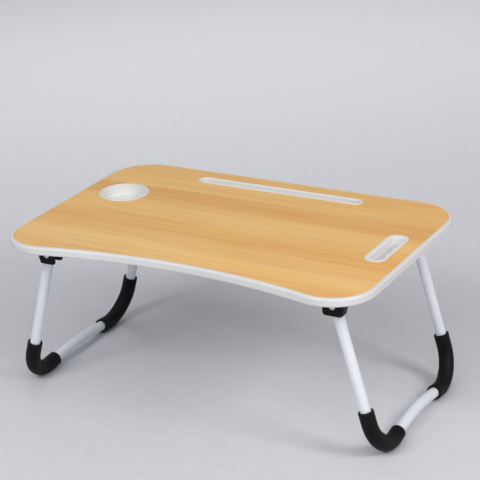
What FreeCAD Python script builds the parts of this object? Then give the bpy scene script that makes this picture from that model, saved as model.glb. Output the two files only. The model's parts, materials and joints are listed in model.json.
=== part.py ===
import FreeCAD, Part
import math
import os
from itertools import product, zip_longest
from types import SimpleNamespace

import Sketcher

# A folding bed desk: a wood-grain board with a cup holder, a tablet slot and a carrying handle,
# on two bent-tube legs that fold in under it. +X is the user's right, +Y is away from the user,
# +Z is up, and the origin lies on the floor under the middle of the board.

# Driving sizes, in millimetres and degrees.
DRIVING_SIZES = {
    # Board
    "board_width": 600.0,
    "board_depth": 400.0,
    "desk_height": 268.0,
    "rear_corner_radius": 72.0,
    "front_corner_radius": 65.0,
    "front_curve_depth": 28.0,
    "film_thickness": 0.5,
    "core_thickness": 11.5,
    "backing_thickness": 0.5,
    "seam_clearance": 0.1,
    # Edge band
    "edge_width": 6.0,
    "edge_top_rounding": 3.0,
    "edge_bottom_rounding": 2.5,
    "tongue_length": 5.0,
    "tongue_thickness": 2.0,
    # Inserts in the board
    "insert_rim_height": 1.0,
    "insert_rim_rounding": 0.7,
    "insert_clearance": 0.2,
    # Cup holder
    "cup_side_inset": 72.9,
    "cup_rear_inset": 145.0,
    "cup_rim_radius": 40.0,
    "cup_rim_width": 3.0,
    "cup_depth": 16.5,
    "cup_taper": 2.5,
    "cup_wall": 1.3,
    "cup_floor_rounding": 3.0,
    # Tablet slot
    "slot_length": 290.0,
    "slot_width": 24.0,
    "slot_rear_inset": 44.5,
    "slot_rim_width": 2.5,
    "slot_lead_in": 1.5,
    "slot_depth": 9.0,
    "slot_wall": 2.0,
    # Carrying handle
    "handle_side_inset": 45.4,
    "handle_rim_width": 7.5,
    "handle_outer_rim_width": 5.0,
    "handle_end_rim_width": 8.5,
    "handle_corner_radius": 14.0,
    "handle_wall": 2.0,
    "handle_lead_in": 1.8,
    "grip_width": 17.5,
    "grip_corner_radius": 4.0,
    "finger_pitch": 22.5,
    "finger_depth": 3.0,
    "finger_ridge_radius": 3.0,
    # Legs
    "leg_end_inset": 60.0,
    "leg_tilt": 15.7,
    "tube_diameter": 16.0,
    "tube_wall": 1.2,
    "tube_overhang": 9.0,
    "leg_bend_radius": 50.0,
    "bar_rise": 7.5,
    "bar_straight_length": 37.5,
    # Foot sleeves
    "sleeve_wall": 3.4,
    "sleeve_clearance": 0.25,
    "sleeve_height": 69.0,
    "sleeve_reach": 73.0,
    "sleeve_end_rounding": 1.0,
    "sleeve_lead_in": 1.4,
    # Hinges
    "hinge_side_inset": 61.4,
    "hinge_pivot_drop": 20.6,
    "cheek_gap": 17.0,
    "cheek_thickness": 2.5,
    "bracket_inner_reach": 14.8,
    "bracket_foot_drop": 13.9,
    "bracket_top_reach": 22.5,
    "bracket_wall": 1.5,
    "bracket_foot_rounding": 5.0,
    "bracket_outer_rounding": 5.0,
    "bracket_inner_rounding": 3.0,
    "stop_clearance": 0.15,
    "base_thickness": 3.0,
    "ear_length": 13.0,
    "ear_corner_radius": 5.0,
    "ear_overhang": 2.0,
    "rib_thickness": 2.0,
    "rib_height": 9.0,
    "rib_reach": 10.0,
    "rivet_diameter": 6.0,
    "rivet_head_diameter": 9.0,
    "rivet_head_height": 1.8,
    "rivet_clearance": 0.05,
    # Bracket screws
    "screw_end_inset": 8.0,
    "screw_diameter": 3.5,
    "screw_length": 11.0,
    "screw_head_diameter": 7.5,
    "screw_head_crown_diameter": 5.0,
    "screw_head_height": 2.4,
    "screw_clearance": 0.3,
    "pilot_clearance": 0.05,
    # How far a cut runs past the solid that it cuts, and how near an edge is to a place it lies at
    "overrun": 5.0,
    "nearness": 0.05,
}

FINGER_COUNT = 4
QUARTER_TURN = 90.0
HALF_TURN = 180.0
FULL_TURN = 360.0

# How a sketch numbers an edge's start, end and centre, and its own axes and origin.
START_INDEX, END_INDEX, CENTRE_INDEX = 1, 2, 3
HORIZONTAL_INDEX, VERTICAL_INDEX = -1, -2
ORIGIN_INDEX = (HORIZONTAL_INDEX, START_INDEX)

UP = FreeCAD.Vector(0, 0, 1)
ALONG_Y = FreeCAD.Vector(0, 1, 0)

SIDES = {"left": -1, "right": 1}
ENDS = {"front": -1, "rear": 1}
EARS = (-1, 1)


class Size:
    """A number together with the sheet formula that gives it."""

    def __init__(self, value, formula):
        self.value = float(value)
        self.formula = formula

    def __add__(self, other):
        other = as_size(other)
        return Size(self.value + other.value, f"({self.formula} + {other.formula})")

    def __sub__(self, other):
        other = as_size(other)
        return Size(self.value - other.value, f"({self.formula} - {other.formula})")

    def __mul__(self, other):
        other = as_size(other)
        return Size(self.value * other.value, f"({self.formula} * {other.formula})")

    def __truediv__(self, other):
        other = as_size(other)
        return Size(self.value / other.value, f"({self.formula} / {other.formula})")

    def __neg__(self):
        return Size(-self.value, f"(0 - {self.formula})")


def as_size(number):
    return number if isinstance(number, Size) else Size(number, repr(number))


def cosine(angle):
    return Size(math.cos(math.radians(angle.value)), f"cos({angle.formula} * 1deg)")


def tangent(angle):
    return Size(math.tan(math.radians(angle.value)), f"tan({angle.formula} * 1deg)")


def make_sheet(doc):
    """Put the driving sizes in a sheet and hand them back as named sizes."""
    sheet = doc.addObject("Spreadsheet::Sheet", "sheet")
    for row, (name, value) in enumerate(DRIVING_SIZES.items(), start=1):
        sheet.set(f"A{row}", name)
        sheet.set(f"B{row}", str(value))
        sheet.setAlias(f"B{row}", name)
    doc.recompute()
    return SimpleNamespace(**{name: Size(sheet.get(name), f"sheet.{name}") for name in DRIVING_SIZES})


doc = FreeCAD.newDocument("bed_desk")
dim = make_sheet(doc)
parts = []

# Places that several pieces share
half_width = dim.board_width / 2
half_depth = dim.board_depth / 2
board_thickness = dim.film_thickness + dim.core_thickness + dim.backing_thickness
underside_height = dim.desk_height - board_thickness
cup_x = dim.cup_side_inset - half_width
cup_y = half_depth - dim.cup_rear_inset
slot_y = half_depth - dim.slot_rear_inset
handle_x = half_width - dim.handle_side_inset
grip_length = dim.finger_pitch * FINGER_COUNT
handle_length = grip_length + dim.handle_end_rim_width * 2
handle_width = dim.handle_rim_width + dim.grip_width + dim.finger_depth + dim.handle_outer_rim_width
hinge_x = half_width - dim.hinge_side_inset
hinge_y = half_depth - dim.leg_end_inset
hinge_height = underside_height - dim.hinge_pivot_drop
tube_radius = dim.tube_diameter / 2
sleeve_bore_radius = tube_radius + dim.sleeve_clearance
sleeve_radius = sleeve_bore_radius + dim.sleeve_wall
leg_drop = (hinge_height - sleeve_radius) / cosine(dim.leg_tilt)
bar_reach = hinge_y - dim.leg_bend_radius
bar_run = bar_reach * bar_reach - dim.bar_straight_length * dim.bar_straight_length
bar_crown_radius = (bar_run / dim.bar_rise + dim.bar_rise) / 2 - dim.leg_bend_radius
bar_crown_z = dim.bar_rise - leg_drop - bar_crown_radius
rivet_radius = dim.rivet_diameter / 2
bracket_depth = dim.cheek_gap + dim.cheek_thickness * 2
screw_radius = dim.screw_diameter / 2

# Screw places on a bracket, from its pivot
base_inner_x = -(dim.bracket_inner_reach + dim.ear_overhang)
base_outer_x = dim.bracket_top_reach + dim.ear_overhang
base_half_depth = bracket_depth / 2 + dim.ear_length
screw_xs = (base_inner_x + dim.screw_end_inset, base_outer_x - dim.screw_end_inset)
screw_y = (bracket_depth + dim.ear_length) / 2
screw_places = list(product(screw_xs, EARS))


def new_body(label):
    """A body of its own for one piece of the desk."""
    body = doc.addObject("PartDesign::Body", label)
    body.Label = label
    parts.append(body)
    return body


def place(body, x, y, z):
    """Bind the place of a body's origin to the sheet."""
    for axis, size in zip("xyz", (x, y, z)):
        body.setExpression(f"Placement.Base.{axis}", as_size(size).formula)


def new_sketch(body, name, plane, height=None):
    """A sketch on one of the body's own origin planes, or a height above it."""
    sketch = body.newObject("Sketcher::SketchObject", f"{body.Name}_{name}")
    role = f"{plane}_Plane"
    support = [feature for feature in body.Origin.OriginFeatures if feature.Role == role][0]
    sketch.AttachmentSupport = [(support, "")]
    sketch.MapMode = "FlatFace"
    if height is not None:
        sketch.setExpression("AttachmentOffset.Base.z", height.formula)
    return sketch


def hold(sketch, size, kind, *where):
    """Add a dimension to a sketch and bind it to the sheet."""
    index = sketch.addConstraint(Sketcher.Constraint(kind, *where, size.value))
    name = f"size_{index}"
    sketch.renameConstraint(index, name)
    sketch.setExpression(f"Constraints.{name}", size.formula)


def relate(sketch, kind, *where):
    sketch.addConstraint(Sketcher.Constraint(kind, *where))


def hold_point(sketch, edge, end, x=None, y=None):
    """Hold one point of an edge at a place in its sketch."""
    for size, kind, axis in ((x, "DistanceX", VERTICAL_INDEX), (y, "DistanceY", HORIZONTAL_INDEX)):
        if isinstance(size, Size):
            hold(sketch, size, kind, *ORIGIN_INDEX, edge, end)
        elif size == 0:
            relate(sketch, "PointOnObject", edge, end, axis)


def flat_vector(x, y):
    return FreeCAD.Vector(as_size(x).value, as_size(y).value, 0)


def add_circle(sketch, x, y, radius):
    edge = sketch.addGeometry(Part.Circle(flat_vector(x, y), UP, radius.value))
    hold(sketch, radius, "Radius", edge)
    hold_point(sketch, edge, CENTRE_INDEX, x, y)
    return edge


def add_arc(sketch, x, y, radius, start, end):
    """An arc, counterclockwise between two angles in degrees; the radius is held."""
    circle = Part.Circle(flat_vector(x, y), UP, radius.value)
    edge = sketch.addGeometry(Part.ArcOfCircle(circle, math.radians(start), math.radians(end)))
    hold(sketch, radius, "Radius", edge)
    return edge


def add_line(sketch, start, end):
    return sketch.addGeometry(Part.LineSegment(start, end))


def edge_point(sketch, edge, end):
    return sketch.getPoint(edge, end)


def join_smoothly(sketch, first, second):
    """Two edges meet end to end in one direction; each is given as (edge, end)."""
    relate(sketch, "Tangent", *first, *second)


def add_smooth_line(sketch, first, second):
    """A straight edge between the ends of two arcs, in line with both."""
    line = add_line(sketch, edge_point(sketch, *first), edge_point(sketch, *second))
    join_smoothly(sketch, first, (line, START_INDEX))
    join_smoothly(sketch, (line, END_INDEX), second)
    return line


def add_belt(sketch, rounds):
    """A closed outline of arcs joined by straight edges, counterclockwise."""
    edges = []
    for x, y, radius, start, end in rounds:
        edge = add_arc(sketch, x, y, radius, start, end)
        hold_point(sketch, edge, CENTRE_INDEX, x, y)
        edges.append(edge)
    for edge, following in zip(edges, edges[1:] + edges[:1]):
        add_smooth_line(sketch, (edge, END_INDEX), (following, START_INDEX))


def add_stadium(sketch, y, length, width):
    """A slot outline along X with half-round ends, centred on x = 0."""
    radius = width / 2
    reach = length / 2 - radius
    add_belt(
        sketch,
        [
            (reach, y, radius, -QUARTER_TURN, QUARTER_TURN),
            (-reach, y, radius, QUARTER_TURN, HALF_TURN + QUARTER_TURN),
        ],
    )


def add_rounded_rectangle(sketch, low_x, high_x, half_length, radius):
    """A rectangle with round corners, from low_x to high_x and centred on y = 0."""
    right = high_x - radius
    left = low_x + radius
    back = half_length - radius
    add_belt(
        sketch,
        [
            (right, back, radius, 0, QUARTER_TURN),
            (left, back, radius, QUARTER_TURN, HALF_TURN),
            (left, -back, radius, HALF_TURN, HALF_TURN + QUARTER_TURN),
            (right, -back, radius, HALF_TURN + QUARTER_TURN, FULL_TURN),
        ],
    )


def add_outline(sketch, points, radii=()):
    """A closed outline through points; radii gives each side's radius, or None if it is straight."""
    sides = []
    followers = points[1:] + points[:1]
    for point, follower, radius in zip_longest(points, followers, radii):
        start = flat_vector(*point)
        end = flat_vector(*follower)
        if radius is None:
            sides.append(add_line(sketch, start, end))
        else:
            chord = end - start
            half_chord = chord.Length / 2
            rise = math.sqrt(radius.value**2 - half_chord**2)
            centre = (start + end) / 2 + UP.cross(chord).normalize() * rise
            first = math.degrees(math.atan2(start.y - centre.y, start.x - centre.x))
            last = math.degrees(math.atan2(end.y - centre.y, end.x - centre.x))
            sides.append(add_arc(sketch, centre.x, centre.y, radius, first, last))
    for side, following in zip(sides, sides[1:] + sides[:1]):
        relate(sketch, "Coincident", side, END_INDEX, following, START_INDEX)
    for side, (x, y) in zip(sides, points):
        hold_point(sketch, side, START_INDEX, x, y)


def pad(body, sketch, length, downward=False, both_ways=False):
    feature = body.newObject("PartDesign::Pad", f"{sketch.Name}_pad")
    feature.Profile = sketch
    feature.Reversed = downward
    feature.SideType = "Symmetric" if both_ways else "One side"
    feature.setExpression("Length", length.formula)
    return feature


def pocket(body, sketch, length=None, upward=False, both_ways=False):
    """Cut a sketch into the body: to a length, or right through when none is given."""
    doc.recompute()
    volume_before = body.Shape.Volume
    feature = body.newObject("PartDesign::Pocket", f"{sketch.Name}_pocket")
    feature.Profile = sketch
    feature.Reversed = upward
    feature.SideType = "Symmetric" if both_ways else "One side"
    if length is None:
        feature.Type = "ThroughAll"
    else:
        feature.setExpression("Length", length.formula)
    doc.recompute()
    if body.Shape.Volume >= volume_before:
        raise RuntimeError(f"{feature.Name} cuts nothing")
    return feature


def revolve(body, sketch, axis):
    feature = body.newObject("PartDesign::Revolution", f"{sketch.Name}_turn")
    feature.Profile = sketch
    feature.ReferenceAxis = (sketch, [axis])
    feature.Angle = FULL_TURN
    return feature


def dress(body, kind, size, wanted, name):
    """Round or chamfer the edges of the body's last feature that the wanted test picks."""
    doc.recompute()
    base = body.Tip
    edges = [f"Edge{i}" for i, edge in enumerate(base.Shape.Edges, start=1) if wanted(edge)]
    if not edges:
        raise RuntimeError(f"{body.Name} has no edge for {name}")
    feature = body.newObject(f"PartDesign::{kind}", f"{body.Name}_{name}")
    feature.Base = (base, edges)
    feature.setExpression("Radius" if kind == "Fillet" else "Size", size.formula)
    return feature


def lies_at(edge, axis, size):
    """True if the whole edge lies at one place along an axis."""
    box = edge.BoundBox
    low, high = {"x": (box.XMin, box.XMax), "y": (box.YMin, box.YMax), "z": (box.ZMin, box.ZMax)}[axis]
    middle = as_size(size).value
    near = dim.nearness.value
    return abs(low - middle) < near and abs(high - middle) < near


def add_board_outline(sketch, inset):
    """The desk's plan, drawn in by inset: four round corners and a long hollow curve in front."""
    rear = dim.rear_corner_radius
    front = dim.front_corner_radius
    reach = half_width - front
    curve = dim.front_curve_depth
    hollow_radius = (reach * reach / curve + curve) / 2 - front
    hollow_y = curve - half_depth - hollow_radius
    swing = math.degrees(math.atan2(reach.value, (hollow_radius + front - curve).value))
    front_y = front - half_depth
    rear_y = half_depth - rear
    corner_places = [
        (half_width - rear, rear_y, rear - inset, 0, QUARTER_TURN),
        (rear - half_width, rear_y, rear - inset, QUARTER_TURN, HALF_TURN),
        (-reach, front_y, front - inset, HALF_TURN, HALF_TURN + QUARTER_TURN + swing),
        (reach, front_y, front - inset, HALF_TURN + QUARTER_TURN - swing, FULL_TURN),
    ]
    corners = []
    for x, y, radius, start, end in corner_places:
        corner = add_arc(sketch, x, y, radius, start, end)
        hold_point(sketch, corner, CENTRE_INDEX, x, y)
        corners.append(corner)
    rear_right, rear_left, front_left, front_right = corners
    hollow = add_arc(
        sketch, 0, hollow_y, hollow_radius + inset, QUARTER_TURN - swing, QUARTER_TURN + swing
    )
    add_smooth_line(sketch, (rear_right, END_INDEX), (rear_left, START_INDEX))
    add_smooth_line(sketch, (rear_left, END_INDEX), (front_left, START_INDEX))
    join_smoothly(sketch, (front_left, END_INDEX), (hollow, END_INDEX))
    join_smoothly(sketch, (hollow, START_INDEX), (front_right, START_INDEX))
    add_smooth_line(sketch, (front_right, END_INDEX), (rear_right, START_INDEX))


def grip_sleeve_box():
    """Low x, high x, half length and corner radius of the sleeve that lines the handle's opening."""
    low_x = dim.handle_rim_width - handle_width / 2 - dim.handle_wall
    high_x = low_x + dim.handle_wall * 2 + dim.grip_width + dim.finger_depth
    half_length = grip_length / 2 + dim.handle_wall
    return low_x, high_x, half_length, dim.grip_corner_radius + dim.handle_wall


def add_cup_hole(sketch):
    radius = dim.cup_rim_radius - dim.cup_rim_width + dim.cup_wall + dim.insert_clearance
    add_circle(sketch, cup_x, cup_y, radius)


def slot_sleeve_size():
    """Length and width of the tray under the tablet slot's rim."""
    drawn_in = (dim.slot_rim_width + dim.slot_lead_in - dim.slot_wall) * 2
    return dim.slot_length - drawn_in, dim.slot_width - drawn_in


def add_slot_hole(sketch):
    length, width = slot_sleeve_size()
    room = dim.insert_clearance * 2
    add_stadium(sketch, slot_y, length + room, width + room)


def add_handle_hole(sketch):
    low_x, high_x, half_length, radius = grip_sleeve_box()
    room = dim.insert_clearance
    add_rounded_rectangle(
        sketch, handle_x + low_x - room, handle_x + high_x + room, half_length + room, radius + room
    )


def add_insert_holes(sketch):
    """The holes that the cup, the tray and the handle's sleeve pass through."""
    add_cup_hole(sketch)
    add_slot_hole(sketch)
    add_handle_hole(sketch)


def add_rim_holes(sketch):
    """The holes that the rims of the cup, the tray and the handle lie in."""
    room = dim.seam_clearance
    add_circle(sketch, cup_x, cup_y, dim.cup_rim_radius + room)
    add_stadium(sketch, slot_y, dim.slot_length + room * 2, dim.slot_width + room * 2)
    half = handle_width / 2 + room
    radius = dim.handle_corner_radius + room
    add_rounded_rectangle(
        sketch, handle_x - half, handle_x + half, handle_length / 2 + room, radius
    )


def add_screw_circles(sketch, radius):
    """The screw places of all four hinge brackets."""
    for side, end in product(SIDES.values(), ENDS.values()):
        for screw_x, ear in screw_places:
            add_circle(sketch, (hinge_x + screw_x) * side, hinge_y * end + screw_y * ear, radius)


def make_sheet_layer(label, bottom, thickness, add_holes):
    """One layer of the board, its plan cut out for the cup holder, the slot and the handle."""
    body = new_body(label)
    place(body, 0, 0, dim.desk_height)
    plan = new_sketch(body, "plan", "XY", -bottom)
    add_board_outline(plan, dim.edge_width + dim.seam_clearance)
    add_holes(plan)
    pad(body, plan, thickness)
    return body


def make_top_film():
    make_sheet_layer("top_film", dim.film_thickness, dim.film_thickness, add_rim_holes)


def make_board_core():
    bottom = dim.film_thickness + dim.core_thickness
    body = make_sheet_layer("board_core", bottom, dim.core_thickness, add_insert_holes)
    groove = new_sketch(body, "groove", "XY", -(dim.film_thickness + dim.core_thickness / 2))
    add_board_outline(groove, dim.edge_width - dim.overrun)
    add_board_outline(groove, dim.edge_width + dim.tongue_length + dim.seam_clearance)
    pocket(body, groove, dim.tongue_thickness + dim.seam_clearance * 2, both_ways=True)
    pilots = new_sketch(body, "pilots", "XY", -board_thickness)
    add_screw_circles(pilots, screw_radius + dim.pilot_clearance)
    depth = dim.screw_length - dim.base_thickness + dim.seam_clearance
    pocket(body, pilots, depth, upward=True)


def make_backing_film():
    body = make_sheet_layer("backing_film", board_thickness, dim.backing_thickness, add_insert_holes)
    holes = new_sketch(body, "screw_holes", "XY", -board_thickness)
    add_screw_circles(holes, screw_radius + dim.screw_clearance)
    pocket(body, holes, upward=True)


def make_edge_band():
    """A moulded band round the board, held by a tongue in the core's groove."""
    body = new_body("edge_band")
    place(body, 0, 0, dim.desk_height)
    rim = new_sketch(body, "rim", "XY")
    add_board_outline(rim, 0)
    add_board_outline(rim, dim.edge_width)
    pad(body, rim, board_thickness, downward=True)
    tongue = new_sketch(body, "tongue", "XY", -(dim.film_thickness + dim.core_thickness / 2))
    add_board_outline(tongue, dim.edge_width / 2)
    add_board_outline(tongue, dim.edge_width + dim.tongue_length)
    pad(body, tongue, dim.tongue_thickness, both_ways=True)

    def outer_edge_at(height):
        return lambda edge: lies_at(edge, "x", half_width) and lies_at(edge, "z", height)

    dress(body, "Fillet", dim.edge_top_rounding, outer_edge_at(0), "top_rounding")
    dress(body, "Fillet", dim.edge_bottom_rounding, outer_edge_at(-board_thickness), "bottom_rounding")


def make_cup_holder():
    """A shallow tapered cup hung in the board by its thin rim."""
    body = new_body("cup_holder")
    place(body, cup_x, cup_y, dim.desk_height)
    mouth = dim.cup_rim_radius - dim.cup_rim_width
    floor_radius = mouth - dim.cup_taper
    section = new_sketch(body, "section", "XZ")
    add_outline(
        section,
        [
            (0, -(dim.cup_depth + dim.cup_wall)),
            (floor_radius + dim.cup_wall, -(dim.cup_depth + dim.cup_wall)),
            (mouth + dim.cup_wall, -dim.film_thickness),
            (dim.cup_rim_radius, -dim.film_thickness),
            (dim.cup_rim_radius, dim.insert_rim_height),
            (mouth, dim.insert_rim_height),
            (floor_radius, -dim.cup_depth),
            (0, -dim.cup_depth),
        ],
    )
    revolve(body, section, "V_Axis")

    def rim_edge(edge):
        is_outer = edge.BoundBox.XMax > (mouth + dim.cup_rim_width / 2).value
        return lies_at(edge, "z", dim.insert_rim_height) and is_outer

    def floor_edge(edge):
        return lies_at(edge, "z", -dim.cup_depth) and edge.BoundBox.DiagonalLength > 0

    dress(body, "Fillet", dim.insert_rim_rounding, rim_edge, "rim_rounding")
    dress(body, "Fillet", dim.cup_floor_rounding, floor_edge, "floor_rounding")


def make_tablet_slot():
    """A shallow tray with a rim and a sloped mouth, to stand a tablet in."""
    body = new_body("tablet_slot")
    place(body, 0, slot_y, dim.desk_height)
    rim = new_sketch(body, "rim", "XY", -dim.film_thickness)
    add_stadium(rim, 0, dim.slot_length, dim.slot_width)
    pad(body, rim, dim.film_thickness + dim.insert_rim_height)
    tray = new_sketch(body, "tray", "XY")
    add_stadium(tray, 0, *slot_sleeve_size())
    pad(body, tray, dim.slot_depth + dim.slot_wall, downward=True)
    groove = new_sketch(body, "groove", "XY", dim.insert_rim_height)
    drawn_in = (dim.slot_rim_width + dim.slot_lead_in) * 2
    groove_width = dim.slot_width - drawn_in
    add_stadium(groove, 0, dim.slot_length - drawn_in, groove_width)
    pocket(body, groove, dim.insert_rim_height + dim.slot_depth)

    def on_rim_top(edge):
        return lies_at(edge, "z", dim.insert_rim_height)

    def mouth_edge(edge):
        return on_rim_top(edge) and lies_at(edge, "y", groove_width / 2)

    def outer_edge(edge):
        return on_rim_top(edge) and lies_at(edge, "y", dim.slot_width / 2)

    dress(body, "Chamfer", dim.slot_lead_in, mouth_edge, "lead_in")
    dress(body, "Fillet", dim.insert_rim_rounding, outer_edge, "rim_rounding")


def add_grip_opening(sketch):
    """The hand hole: one straight side, and one side waved for the fingers."""
    low_x = dim.handle_rim_width - handle_width / 2
    ridge_x = low_x + dim.grip_width
    half_length = grip_length / 2
    corner = dim.grip_corner_radius
    # A finger hollow and the ridge beside it touch where the line of their centres crosses both.
    half_pitch = dim.finger_pitch / 2
    centre_gap = (half_pitch * half_pitch / dim.finger_depth + dim.finger_depth) / 2
    finger_radius = centre_gap - dim.finger_ridge_radius
    finger_x = ridge_x + dim.finger_depth - finger_radius
    ridge_centre_x = ridge_x + dim.finger_ridge_radius
    lean = math.degrees(math.asin(half_pitch.value / centre_gap.value))
    # The end corner is a circle inside the last finger hollow that also touches the end wall.
    last_finger_y = half_length - half_pitch
    corner_rise = half_length - corner - last_finger_y
    corner_lean = math.degrees(math.asin(corner_rise.value / (finger_radius - corner).value))
    corner_run = (finger_radius - corner).value * math.cos(math.radians(corner_lean))
    corner_x = finger_x.value + corner_run
    corner_y = half_length - corner

    chain = [add_arc(sketch, corner_x, -corner_y, corner, -QUARTER_TURN, -corner_lean)]
    chain_ends = [(START_INDEX, END_INDEX)]
    for index in range(FINGER_COUNT):
        finger_y = dim.finger_pitch * index - last_finger_y
        first = -corner_lean if index == 0 else -lean
        last = corner_lean if index == FINGER_COUNT - 1 else lean
        finger = add_arc(sketch, finger_x, finger_y, finger_radius, first, last)
        hold_point(sketch, finger, CENTRE_INDEX, finger_x, finger_y)
        chain.append(finger)
        chain_ends.append((START_INDEX, END_INDEX))
        if index < FINGER_COUNT - 1:
            ridge_y = finger_y + half_pitch
            first, last = HALF_TURN - lean, HALF_TURN + lean
            chain.append(
                add_arc(sketch, ridge_centre_x, ridge_y, dim.finger_ridge_radius, first, last)
            )
            chain_ends.append((END_INDEX, START_INDEX))
    chain.append(add_arc(sketch, corner_x, corner_y, corner, corner_lean, QUARTER_TURN))
    chain_ends.append((START_INDEX, END_INDEX))
    for index in range(len(chain) - 1):
        join_smoothly(
            sketch,
            (chain[index], chain_ends[index][1]),
            (chain[index + 1], chain_ends[index + 1][0]),
        )

    straight_x = low_x + corner
    rear_corner = add_arc(sketch, straight_x, corner_y, corner, QUARTER_TURN, HALF_TURN)
    front_corner = add_arc(
        sketch, straight_x, -corner_y, corner, HALF_TURN, HALF_TURN + QUARTER_TURN
    )
    hold_point(sketch, rear_corner, CENTRE_INDEX, straight_x, corner_y)
    hold_point(sketch, front_corner, CENTRE_INDEX, straight_x, -corner_y)
    rear_wall = add_smooth_line(sketch, (chain[-1], END_INDEX), (rear_corner, START_INDEX))
    add_smooth_line(sketch, (rear_corner, END_INDEX), (front_corner, START_INDEX))
    front_wall = add_smooth_line(sketch, (front_corner, END_INDEX), (chain[0], START_INDEX))
    relate(sketch, "Horizontal", rear_wall)
    relate(sketch, "Horizontal", front_wall)


def add_handle_rim(sketch):
    half = handle_width / 2
    add_rounded_rectangle(sketch, -half, half, handle_length / 2, dim.handle_corner_radius)


def make_handle_grip():
    """The carrying handle's lining: a wide rim on the board and a sleeve through it."""
    body = new_body("handle_grip")
    place(body, handle_x, 0, dim.desk_height)
    rim = new_sketch(body, "rim", "XY", -dim.film_thickness)
    add_handle_rim(rim)
    pad(body, rim, dim.film_thickness + dim.insert_rim_height)
    sleeve = new_sketch(body, "sleeve", "XY")
    add_rounded_rectangle(sleeve, *grip_sleeve_box())
    pad(body, sleeve, board_thickness + dim.insert_rim_height, downward=True)
    opening = new_sketch(body, "opening", "XY", dim.insert_rim_height)
    add_grip_opening(opening)
    pocket(body, opening)

    straight_wall_x = dim.handle_rim_width - handle_width / 2

    def on_rim_top(edge):
        return lies_at(edge, "z", dim.insert_rim_height)

    def mouth_edge(edge):
        return on_rim_top(edge) and lies_at(edge, "x", straight_wall_x)

    def outer_edge(edge):
        return on_rim_top(edge) and lies_at(edge, "x", handle_width / 2)

    dress(body, "Fillet", dim.handle_lead_in, mouth_edge, "lead_in")
    dress(body, "Fillet", dim.insert_rim_rounding, outer_edge, "rim_rounding")


def make_handle_lower_ring():
    """The ring that finishes the handle under the board, round the end of the sleeve."""
    body = new_body("handle_lower_ring")
    place(body, handle_x, 0, underside_height)
    ring = new_sketch(body, "ring", "XY")
    add_handle_rim(ring)
    low_x, high_x, half_length, radius = grip_sleeve_box()
    room = dim.seam_clearance
    add_rounded_rectangle(ring, low_x - room, high_x + room, half_length + room, radius + room)
    pad(body, ring, dim.insert_rim_height, downward=True)

    def outer_edge(edge):
        return lies_at(edge, "z", -dim.insert_rim_height) and lies_at(edge, "x", handle_width / 2)

    dress(body, "Fillet", dim.insert_rim_rounding, outer_edge, "rim_rounding")


def place_on_hinge(body, side, end):
    """Put a piece that is modelled about its pivot at one of the four hinges."""
    turn = 0 if side > 0 else HALF_TURN
    body.Placement = FreeCAD.Placement(FreeCAD.Vector(), FreeCAD.Rotation(UP, turn))
    place(body, hinge_x * side, hinge_y * end, hinge_height)


def make_hinge_bracket(label, side, end):
    """A moulded channel whose outer wall stops the leg, on a base with two screwed ears."""
    body = new_body(label)
    place_on_hinge(body, side, end)
    top = dim.hinge_pivot_drop
    foot = -dim.bracket_foot_drop
    tube_side_x = tube_radius / cosine(dim.leg_tilt) + dim.bracket_foot_drop * tangent(dim.leg_tilt)
    stop_x = tube_side_x + dim.stop_clearance
    foot_x = stop_x + dim.bracket_wall
    slope = (dim.bracket_top_reach - foot_x) / (dim.bracket_foot_drop + top)
    cheek_y = bracket_depth / 2

    block = new_sketch(body, "block", "XZ")
    add_outline(
        block,
        [
            (-dim.bracket_inner_reach, foot),
            (foot_x, foot),
            (dim.bracket_top_reach, top),
            (-dim.bracket_inner_reach, top),
        ],
    )
    pad(body, block, bracket_depth, both_ways=True)
    base = new_sketch(body, "base", "XY", top)
    add_rounded_rectangle(base, base_inner_x, base_outer_x, base_half_depth, dim.ear_corner_radius)
    pad(body, base, dim.base_thickness, downward=True)

    ceiling = top - dim.base_thickness
    ribs = new_sketch(body, "ribs", "YZ", (base_inner_x + base_outer_x) / 2)
    for ear in EARS:
        corners = [
            (cheek_y - dim.cheek_thickness / 2, ceiling),
            (cheek_y - dim.cheek_thickness / 2, ceiling - dim.rib_height),
            (cheek_y, ceiling - dim.rib_height),
            (cheek_y + dim.rib_reach, ceiling),
        ]
        add_outline(ribs, [(y * ear, z) for y, z in corners])
    pad(body, ribs, dim.rib_thickness, both_ways=True)

    channel = new_sketch(body, "channel", "XZ")
    open_x = -(dim.bracket_inner_reach + dim.overrun)
    open_z = foot - dim.overrun
    add_outline(
        channel,
        [
            (open_x, open_z),
            (stop_x - slope * dim.overrun, open_z),
            (stop_x + slope * (ceiling - foot), ceiling),
            (open_x, ceiling),
        ],
    )
    pocket(body, channel, dim.cheek_gap, both_ways=True)
    pivot = new_sketch(body, "pivot", "XZ")
    add_circle(pivot, 0, 0, rivet_radius + dim.rivet_clearance)
    pocket(body, pivot, both_ways=True)
    holes = new_sketch(body, "screw_holes", "XY", top)
    for screw_x, ear in screw_places:
        add_circle(holes, screw_x, screw_y * ear, screw_radius + dim.screw_clearance)
    pocket(body, holes, dim.base_thickness)

    def foot_corner(edge):
        return lies_at(edge, "x", -dim.bracket_inner_reach) and lies_at(edge, "z", foot)

    def slanted_edge_at(depth):
        def wanted(edge):
            box = edge.BoundBox
            slants = box.XLength > dim.base_thickness.value and box.ZLength > dim.bracket_foot_drop.value
            return slants and any(lies_at(edge, "y", depth * ear / 2) for ear in EARS)

        return wanted

    dress(body, "Fillet", dim.bracket_foot_rounding, foot_corner, "foot_rounding")
    dress(body, "Fillet", dim.bracket_outer_rounding, slanted_edge_at(bracket_depth), "outer_rounding")
    dress(body, "Fillet", dim.bracket_inner_rounding, slanted_edge_at(dim.cheek_gap), "inner_rounding")


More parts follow.
